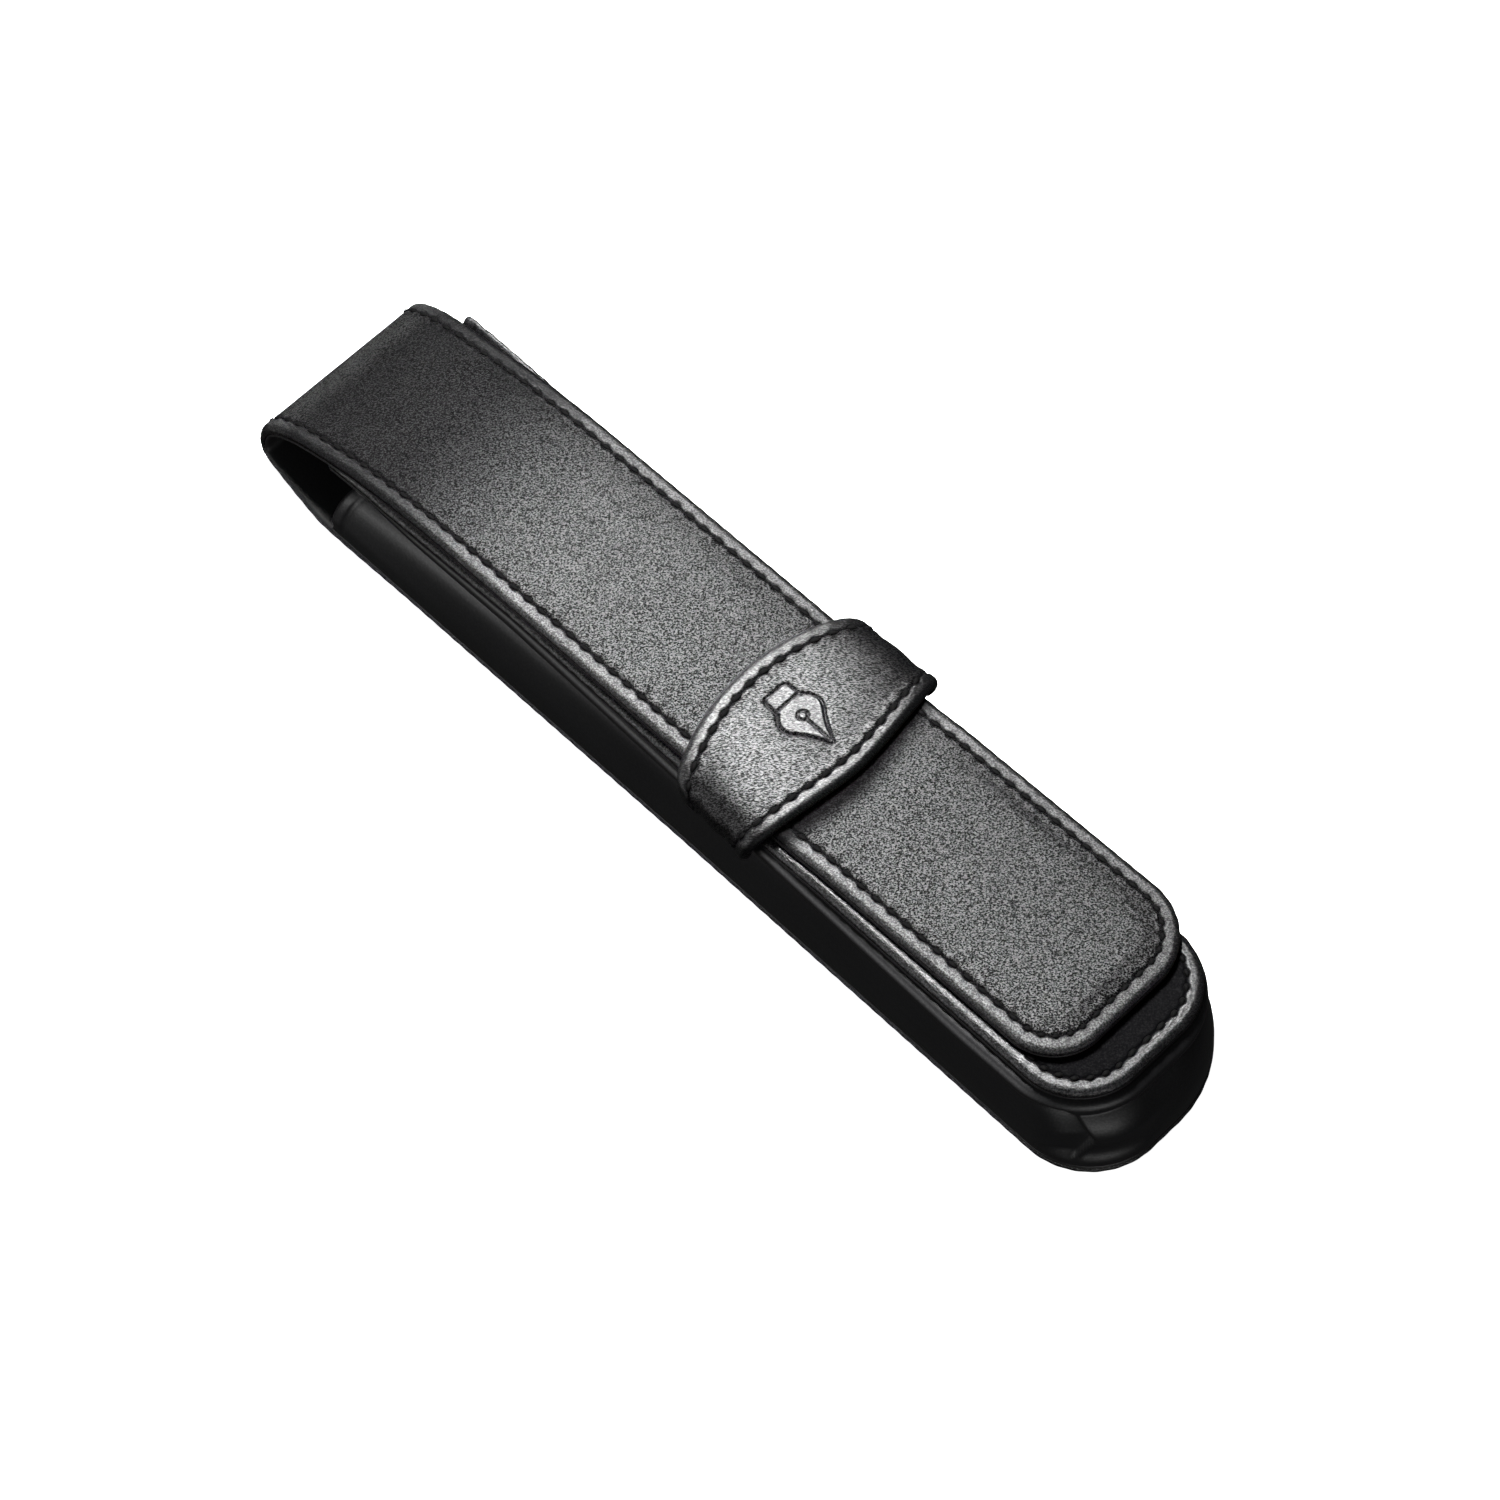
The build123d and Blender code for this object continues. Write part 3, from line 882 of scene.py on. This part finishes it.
# The lining's section inside the wall, outer side then inner side
WALL_LINING_SECTION = [
    (0.945, 1.0, 2.25), (0.78, 0.9, 2.4), (0.4, 0.16, 1.9), (0.07, 0.0, 1.8), (0.065, 0.0, 4.0),
    (0.09, 0.0, 4.0), (0.1, 0.0, 2.2), (0.4, 0.16, 2.3), (0.78, 0.9, 2.8), (0.945, 1.0, 2.6),
]


def open_tube(rows):
    """The points and faces of a band swept along an open path, closed at both ends. rows holds one line
    of points along the path for each corner of the band's section."""
    count, total = len(rows[0]), len(rows)
    points = np.stack(rows, 1).reshape(-1, 3)
    faces = []
    for i in range(count - 1):
        for k in range(total):
            j = (k + 1) % total
            faces.append((i * total + k, i * total + j, (i + 1) * total + j, (i + 1) * total + k))
    faces.append(tuple(range(total)))
    faces.append(tuple((count - 1) * total + k for k in reversed(range(total))))
    return points, faces


def wall_swell(steps, share):
    """How far the wall stands out at a height share, at each distance along it: slow waves, the pinch, a
    fold at the far closed corner, and a hem at each mouth."""
    middle = steps[GUSSET_STATIONS]
    body = smooth(0.05, 0.3, share) * smooth(0.9, 0.75, share)
    swell = body * (0.12 * np.sin(steps / 19 + 1.0) + 0.05 * np.sin(steps / 6.3 + 4.0 * share))
    swell += corner_pinch(steps - middle + PINCH_BEFORE_MIDDLE, share)
    far_turn = steps - middle - FAR_TURN_AFTER_MIDDLE
    swell += 0.35 * bump(far_turn, 2.2) * bump(share - 0.80, 0.05)
    swell -= 0.3 * bump(far_turn, 3.5) * bump(share - 0.72, 0.06)
    hem = np.minimum(steps, steps[-1] - steps)
    swell += body * (0.26 * smooth(2.3, 1.5, hem) - 0.22 * bump(hem - 2.2, 0.35))
    return swell - 0.35 * smooth(0.5, 0.0, hem) * smooth(0.0, 0.05, share)


def build_gusset():
    """The wall between the shoulder's outline and the foot's, and its inner lining."""
    lip, lip_in = lip_path()
    base, base_in = base_path()
    base_z = BACK_LOW[2] + PANEL_T
    steps = along_of(base)
    lip_z = FRONT_HIGH[2] - droop(lip[:, 0]) - PANEL_T - SHOULDER_GAP

    def row(share, lip_share, inset):
        flat = lip * lip_share + base * (1 - lip_share)
        inward = lip_in * lip_share + base_in * (1 - lip_share)
        z = base_z + (lip_z - base_z) * share
        return np.column_stack([flat + inward * np.broadcast_to(inset, len(lip))[:, None], z])

    rows = [row(share, lip_share, inset - wall_swell(steps, share))
            for share, lip_share, inset in refined(WALL_SECTION, 3)]
    rows += [row(*corner) for corner in INNER_SECTION]
    points, faces = open_tube(rows)
    wall = make_object("gusset_wall", points, faces, GUSSET, "case")
    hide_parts("gusset_leather")
    points, faces = open_tube([row(*corner)[6:-6] for corner in WALL_LINING_SECTION])
    lining = make_object("gusset_inner_lining", points, faces, LINING, "case")
    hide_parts("gusset_lining")


# ---------------------------------------------------------------- the strap

def strap_arch():
    """The strap's outer face seen end on, as close (y, z) points from its near tail to its far one."""
    t = np.linspace(math.pi, 0, 1200)
    power = 2 / 3.5  # of a squarish oval
    y = STRAP_HALF_SPAN * np.sign(np.cos(t)) * np.abs(np.cos(t)) ** power
    rise = STRAP_HIGH[2] - STRAP_LOWERED - STRAP_SEAM_Z
    z = STRAP_SEAM_Z + rise * np.abs(np.sin(t)) ** power - 0.25 * (y / STRAP_HALF_SPAN) ** 2
    angle = np.linspace(math.pi / 2, 0, 40)[:-1]
    tuck = np.stack([TAIL_R * (1 - np.cos(angle)) - STRAP_HALF_SPAN, z[0] - TAIL_R * np.sin(angle)], 1)
    return np.vstack([tuck, np.stack([y, z], 1), (tuck * [-1, 1])[::-1]])


ARCH = strap_arch()
ARCH_S = along_of(ARCH) - along_of(ARCH)[-1] / 2
ARCH_AHEAD = unit(np.gradient(ARCH, axis=0))
ARCH_OUT = np.stack([-ARCH_AHEAD[:, 1], ARCH_AHEAD[:, 0]], 1)


def strap_place(x, s, height):
    """A place on the strap: s runs along its arch from the middle of its top."""
    y, z = places_at(s, ARCH_S, ARCH).T
    ny, nz = places_at(s, ARCH_S, ARCH_OUT).T
    return np.stack([x + 0 * y, y + ny * height, z + nz * height], 1)


def strap_edge(direction):
    """One bowed edge laid flat, with its inward directions and distances along it."""
    s = np.linspace(ARCH_S[0], ARCH_S[-1], 2001)
    middle_x, draw_in, power = STRAP_EDGES[direction]
    share = np.sqrt((s / ARCH_S[-1]) ** 2 + 0.003)  # rounded where it would come to a point
    x = middle_x - direction * draw_in * share**power
    line = np.stack([x, s], 1)
    count = STRAP_STITCHES * STRAP_ROWS_PER_STITCH
    stations = np.linspace(0, along_of(line)[-1], count + 1)
    line = resampled(line, count)
    ahead = unit(np.gradient(line, axis=0))
    return line, direction * np.stack([-ahead[:, 1], ahead[:, 0]], 1), stations


# The pressed nib: how far its pad stands out, and how deep its line and the leather round it are
NIB_PAD = 0.12
NIB_LINE = 0.30
NIB_SUNK = 0.12


def nib_outline():
    """A plain pen nib, 11 mm long, pointing along +x, as a closed outline."""
    shank = [(-5.4, 0, 0), (-5.4, 2.1, 0.7), (-2.4, 2.2, 1.5)]
    blade = [(-1.2, 4.6, 2.2), (2.6, 1.7, 7.0), (5.6, 0.12, 0)]
    upper = filleted(shank + blade, 0.1)
    return np.vstack([upper, (upper * [1, -1])[::-1]])


def distance_to(outline, points):
    """Signed distance of each point from a closed outline, negative inside."""
    after = np.roll(outline, -1, 0)
    best = np.full(len(points), 1e9)
    inside = np.zeros(len(points), bool)
    for a, b in zip(outline, after):
        step = b - a
        t = np.clip(((points - a) @ step) / max(step @ step, 1e-12), 0, 1)
        best = np.minimum(best, np.hypot(*(points - a - t[:, None] * step).T))
        crosses = (a[1] > points[:, 1]) != (b[1] > points[:, 1])
        if a[1] != b[1]:
            crossing = (b[0] - a[0]) * (points[:, 1] - a[1]) / (b[1] - a[1]) + a[0]
            inside ^= crosses & (points[:, 0] < crossing)
    return np.where(inside, -best, best)


def emblem_height(x, s):
    """The nib pressed into the strap: a full pad inside a pressed line. Also how polished each point is."""
    points = np.stack([x - STRAP_X, s], 1)
    near = (np.abs(points) < 7).all(1)
    height = np.zeros(len(points))
    polish = np.zeros(len(points))
    local = points[near]
    edge = distance_to(nib_outline(), local)
    # distances from the nib's slit, its breather hole and the line across its shank
    slit = np.abs(local[:, 1]) + 5 * (local[:, 0] < 0.6) + 5 * (local[:, 0] > 5.2)
    hole = np.abs(np.hypot(local[:, 0], local[:, 1]) - 0.7)
    band = np.abs(local[:, 0] + 2.9) + 5 * (edge > 0)
    line = np.minimum(np.minimum(np.abs(edge), slit), np.minimum(hole, band))
    pad = smooth(0.05, -0.45, edge)
    sunk = bump(np.maximum(edge, 0), 0.8) * (edge > -0.1)
    height[near] = NIB_PAD * pad - NIB_LINE * bump(line, 0.17) - NIB_SUNK * sunk
    polish[near] = pad * smooth(0.15, 0.4, line)
    return height, polish


def strap_columns(phase):
    """The ring of columns round the band's section, from the mouth side over the outer face to the other
    edge and back underneath. Gives their flat places, their heights and each column's depth in from the
    edge."""
    left, left_in, _ = strap_edge(-1)
    right, right_in, _ = strap_edge(1)
    rows = len(left)
    flats, heights, depths = [], [], []

    def add(flat, height, depth):
        flat[:, 1] = np.clip(flat[:, 1], ARCH_S[0], ARCH_S[-1])
        flats.append(flat)
        heights.append(np.broadcast_to(height, rows))
        depths.append(depth)

    def add_between(depth, t, height):
        flat = (left + left_in * depth) * (1 - t) + (right + right_in * depth) * t
        add(flat, height, INNER_DEPTH)

    section = [(depth, height - STRAP_T) for depth, height in STRAP_LOWER_ROLL]
    section += [(depth, face_height(depth, phase, STRAP_PUFF)) for depth in FACE_DEPTHS]
    for depth, height in section:
        add(left + left_in * depth, height, depth)
    for t in np.linspace(0, 1, STRAP_MIDDLE_ROWS + 2)[1:-1]:
        add_between(FACE_DEPTHS[-1], t, STRAP_SWELL * math.sin(math.pi * t))
    for depth, height in section[::-1]:
        add(right + right_in * depth, height, depth)
    for t in np.linspace(1, 0, STRAP_UNDER_ROWS + 2)[1:-1]:
        add_between(STRAP_LOWER_ROLL[0][0], t, -STRAP_T)
    return np.stack(flats, 1), np.stack(heights, 1), np.array(depths)


def strap_flare(flat):
    """How far the strap's tails stand out at its closed-end edge."""
    to_end = ARCH_S[-1] - np.abs(flat[:, 1])
    from_right = STRAP_EDGES[1][0] - STRAP_EDGES[1][1] - flat[:, 0]
    return 0.7 * bump(to_end - 1.5, 3.5) * smooth(4.5, 0.0, from_right)


def build_strap():
    """The band is rows along the arch, each a ring of columns round the band's section."""
    rows = STRAP_STITCHES * STRAP_ROWS_PER_STITCH + 1
    phase = np.arange(rows) / STRAP_ROWS_PER_STITCH % 1
    flat, height, depths = strap_columns(phase)
    width = len(depths)
    flat = flat.reshape(-1, 2)
    height = height.reshape(-1)
    turned = 0.9 * smooth(1.2, 0.6, depths) * (np.arange(width) > width / 2)
    dull = np.maximum(seam_share(depths, phase[:, None]), turned).reshape(-1)
    pressed, polish = emblem_height(flat[:, 0], flat[:, 1])
    rim = np.maximum(np.tile(rim_share(depths), rows), polish)
    outer = height > -EDGE_R
    points = strap_place(flat[:, 0], flat[:, 1], height + pressed * outer + strap_flare(flat))
    faces = []
    for i in range(rows - 1):
        a, b = i * width, (i + 1) * width
        faces += [(a + k, a + (k + 1) % width, b + (k + 1) % width, b + k) for k in range(width)]
    faces.append(tuple(range(width - 1, -1, -1)))
    faces.append(tuple(range((rows - 1) * width, rows * width)))
    values = {"rim": rim, "dull": dull}
    strap = make_object("strap_band", points, faces, STRAP_GRAIN, "case", values)
    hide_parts("strap_leather", "strap_lining")


def build_strap_stitches():
    """The rows along both bowed edges, without the stitches that are tucked under the tails."""
    for direction, node in ((-1, "strap_stitching_mouth_side"), (1, "strap_stitching_end_side")):
        edge, inward, along = strap_edge(direction)
        pitch = along[-1] / STRAP_STITCHES

        def line(u, across):
            at = places_at(u, along, edge)
            return at + places_at(u, along, inward) * (STITCH_INSET + across)[:, None]

        holes = [(k * pitch, (k + 1) * pitch) for k in range(1, STRAP_STITCHES - 1)]
        points, faces = stitches(strap_place, line, holes)
        thread = make_object(node + "_thread", points, faces, THREAD, "case")
        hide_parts(node)


def cover_boards():
    """The boards keep their CAD shapes, inside the leather, and get the board's material."""
    for piece in bpy.data.objects:
        if piece.type == "MESH" and piece.name.endswith("_board"):
            piece.data.materials.clear()
            piece.data.materials.append(BOARD)


build_strip()
build_front()
build_gusset()
build_strap()
build_strap_stitches()
cover_boards()


# ---------------------------------------------------------------- the studio

FLOOR_Z = -0.0002


def direction_to(azimuth, elevation):
    """The direction from the case towards a camera or lamp, from degrees round and degrees up."""
    a, e = math.radians(azimuth), math.radians(elevation)
    return Vector((math.sin(a) * math.cos(e), -math.cos(a) * math.cos(e), math.sin(e)))


def area_light(name, azimuth, elevation, distance, size, power, aim=(0, 0, 0.01)):
    """A soft box that faces the case, or the point it is aimed at. Lengths are in metres, power in watts."""
    away = direction_to(azimuth, elevation)
    data = bpy.data.lights.new(name, "AREA")
    data.shape = "RECTANGLE"
    data.size, data.size_y = size
    data.energy = power
    lamp = bpy.data.objects.new(name, data)
    lamp.location = Vector(aim) + away * distance
    lamp.rotation_euler = (-away).to_track_quat("-Z", "Y").to_euler()
    bpy.context.scene.collection.objects.link(lamp)


def build_floor():
    """A plain white floor, just under the case, that lights nothing and isn't mirrored."""
    mesh = bpy.data.meshes.new("floor")
    mesh.from_pydata([(-3, -3, 0), (3, -3, 0), (3, 3, 0), (-3, 3, 0)], [], [(0, 1, 2, 3)])
    floor = bpy.data.objects.new("floor", mesh)
    material, _, shader = nodes_of("floor_white")
    shader.inputs["Base Color"].default_value = (0.9, 0.9, 0.9, 1)
    shader.inputs["Roughness"].default_value = 0.9
    shader.inputs["Specular IOR Level"].default_value = 0.0
    shader.inputs["Emission Color"].default_value = (1, 1, 1, 1)
    shader.inputs["Emission Strength"].default_value = 1.0
    mesh.materials.append(material)
    bpy.context.scene.collection.objects.link(floor)
    floor.location.z = FLOOR_Z
    floor.visible_glossy = False
    floor.visible_diffuse = False


def build_lights():
    """One small strong lamp whose glare is the light patch on the flap, and three long strips round it."""
    area_light("key", 224.8, 63.2, 0.30, (0.06, 0.06), 3.7, aim=(0.022, -0.058, 0.0193))
    area_light("back", 248, 1.6, 0.9, (0.7, 0.035), 2.4)
    area_light("side", 335, 12, 0.8, (0.7, 0.14), 2.6)
    area_light("end", 64, 8, 0.8, (0.6, 0.16), 1.7)
    world = bpy.data.worlds.new("studio")
    world.use_nodes = True
    sky = world.node_tree.nodes["Background"]
    sky.inputs["Color"].default_value = (1, 1, 1, 1)
    sky.inputs["Strength"].default_value = 0.03
    bpy.context.scene.world = world
    bpy.context.scene.view_settings.view_transform = "Standard"


def build_camera():
    """The photograph's view: a long lens from 45 degrees round and 61 degrees up."""
    data = bpy.data.cameras.new("camera")
    data.lens = 120.1
    data.sensor_width = 36
    data.clip_start = 0.01
    camera = bpy.data.objects.new("camera", data)
    away = direction_to(44.72, 60.85)
    aim = Vector((0.0051, -0.0041, 0.010))
    distance = 0.672
    camera.location = aim + away * distance
    camera.rotation_euler = (-away).to_track_quat("-Z", "Y").to_euler()
    bpy.context.scene.collection.objects.link(camera)
    bpy.context.scene.camera = camera


build_floor()
build_lights()
build_camera()
